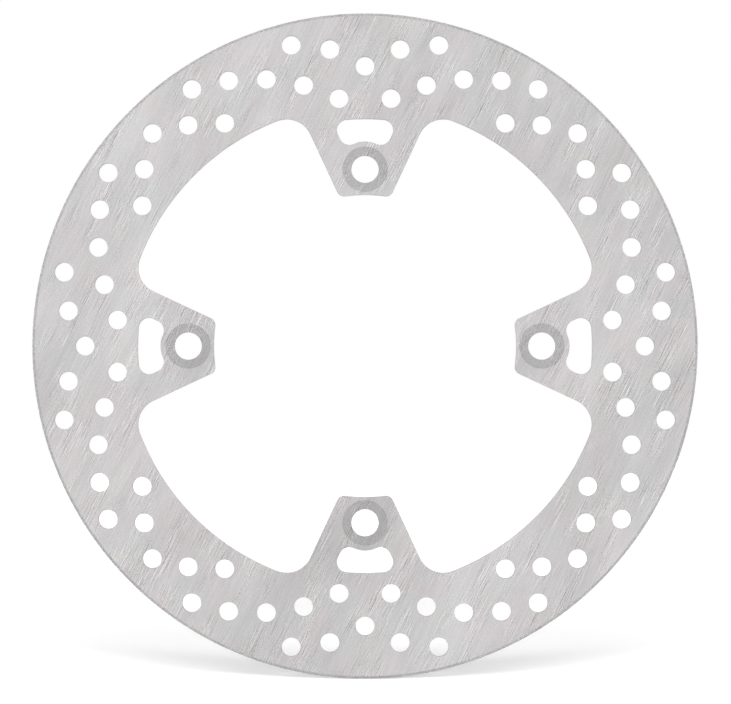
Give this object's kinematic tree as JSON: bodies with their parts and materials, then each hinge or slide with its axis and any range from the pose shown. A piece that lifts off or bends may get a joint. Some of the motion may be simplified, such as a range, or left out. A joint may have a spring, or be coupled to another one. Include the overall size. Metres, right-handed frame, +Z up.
{
  "type": "brake disc rotor",
  "caption": "One-piece flat motorcycle brake disc: a perforated ring-shaped braking band with mounting tabs that reach inwards to the wheel hub.",
  "frame": {"origin": "on the disc axis, in the hub-side face", "axes": "the disc stands upright: Y is the disc axis, -Y points outboard, away from the hub, +Z is up along one tab"},
  "size_m": [0.256, 0.006, 0.256],
  "materials": {
    "ground_steel": "flat ground stainless steel, fine straight grinding lines in one direction, satin"
  },
  "bodies": {
    "root": {"brake_disc": "ground_steel"}
  },
  "joints": []
}
